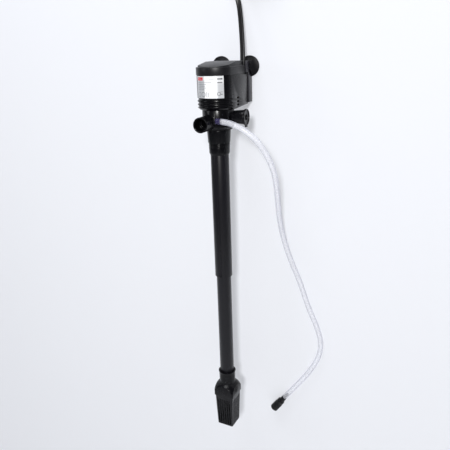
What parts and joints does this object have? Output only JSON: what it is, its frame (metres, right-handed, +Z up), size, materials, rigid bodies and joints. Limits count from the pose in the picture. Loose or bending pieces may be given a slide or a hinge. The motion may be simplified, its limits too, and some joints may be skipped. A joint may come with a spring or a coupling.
{
  "type": "power-head pump",
  "caption": "Submersible aquarium power-head pump with a telescoping suction lift tube, slotted strainer, venturi air hose and suction-cup bracket",
  "frame": {"origin": "midway between the two suction cups, on the glass that they hold", "axes": "+X right seen from the front, -Y out from the glass to the front of the pump, +Z up along the lift tube"},
  "size_m": [0.1392, 0.0889, 0.5858],
  "materials": {
    "black_gloss": "glossy moulded black",
    "black_satin": "satin moulded black",
    "black_tube": "satin extruded black",
    "label_film": "silver-white printed film",
    "white_nylon": "natural nylon",
    "resin": "cast potting resin",
    "laminated_steel": "laminated, bare",
    "copper_winding": "enamelled wire",
    "ceramic": "polished ceramic",
    "ferrite": "ferrite magnet",
    "rubber_black": "smooth rubber",
    "clear_hose": "clear soft tube",
    "cord_black": "cord sheath",
    "pin_metal": "nickel-plated"
  },
  "bodies": {
    "pump": {"housing": "black_gloss", "lid": "black_satin", "rating_label": "label_film", "stator_core": "laminated_steel", "bobbin_left": "white_nylon", "bobbin_right": "white_nylon", "winding_left": "copper_winding", "winding_right": "copper_winding", "potting_plate": "resin", "shaft": "ceramic", "top_bush": "rubber_black", "bracket": "black_satin", "chamber_seal": "rubber_black", "cable_gland": "rubber_black", "mains_lead": "cord_black", "lead_coil": "cord_black", "lead_tail": "cord_black", "coil_tie": "white_nylon", "mains_plug": "cord_black", "plug_pin_low": "pin_metal", "plug_pin_high": "pin_metal"},
    "rotor": {"rotor_magnet": "ferrite", "impeller": "white_nylon"},
    "chamber": {"pump_chamber": "black_gloss", "low_bush": "rubber_black", "venturi_nozzle": "black_gloss", "air_nipple": "black_gloss", "air_hose": "clear_hose", "regulator_body": "black_satin"},
    "flow_cap": {"flow_cap": "black_gloss"},
    "regulator_cap": {"regulator_cap": "black_gloss"},
    "lift_tube": {"suction_adapter": "black_gloss", "clamp_collar": "black_gloss", "upper_tube": "black_tube"},
    "telescope": {"lower_tube": "black_tube"},
    "strainer": {"strainer": "black_gloss", "strainer_base": "black_gloss"},
    "cup_left": {"suction_cup_left": "rubber_black"},
    "cup_right": {"suction_cup_right": "rubber_black"}
  },
  "joints": [
    {"name": "rotor_spin", "type": "hinge", "parent": "pump", "child": "rotor", "pos_m": [0, -0.0524, -0.049], "axis": [0, 0, 1], "continuous": true},
    {"name": "chamber_turn", "type": "hinge", "parent": "pump", "child": "chamber", "pos_m": [0, -0.0524, -0.049], "axis": [0, 0, 1], "range_deg": [-25, 0]},
    {"name": "flow_cap_turn", "type": "hinge", "parent": "chamber", "child": "flow_cap", "pos_m": [0.03, -0.0494, -0.0484], "axis": [1, 0, 0], "range_deg": [0, 180]},
    {"name": "regulator_turn", "type": "hinge", "parent": "chamber", "child": "regulator_cap", "pos_m": [0.0592, -0.0054, -0.4116], "axis": [-0.5883, -0.0428, -0.8075], "range_deg": [0, 350]},
    {"name": "lift_tube_turn", "type": "hinge", "parent": "chamber", "child": "lift_tube", "pos_m": [0, -0.0524, -0.069], "axis": [0, 0, 1], "range_deg": [-180, 180]},
    {"name": "telescope_slide", "type": "slide", "parent": "lift_tube", "child": "telescope", "axis": [0, 0, 1], "range_m": [0, 0.12]},
    {"name": "strainer_turn", "type": "hinge", "parent": "telescope", "child": "strainer", "pos_m": [0, -0.0524, -0.359], "axis": [0, 0, 1], "range_deg": [-180, 180]},
    {"name": "left_cup_swivel", "type": "hinge", "parent": "pump", "child": "cup_left", "pos_m": [-0.0165, -0.0094, 0], "axis": [0, 1, 0], "range_deg": [-180, 180]},
    {"name": "right_cup_swivel", "type": "hinge", "parent": "pump", "child": "cup_right", "pos_m": [0.0165, -0.0094, 0], "axis": [0, 1, 0], "range_deg": [-180, 180]}
  ]
}
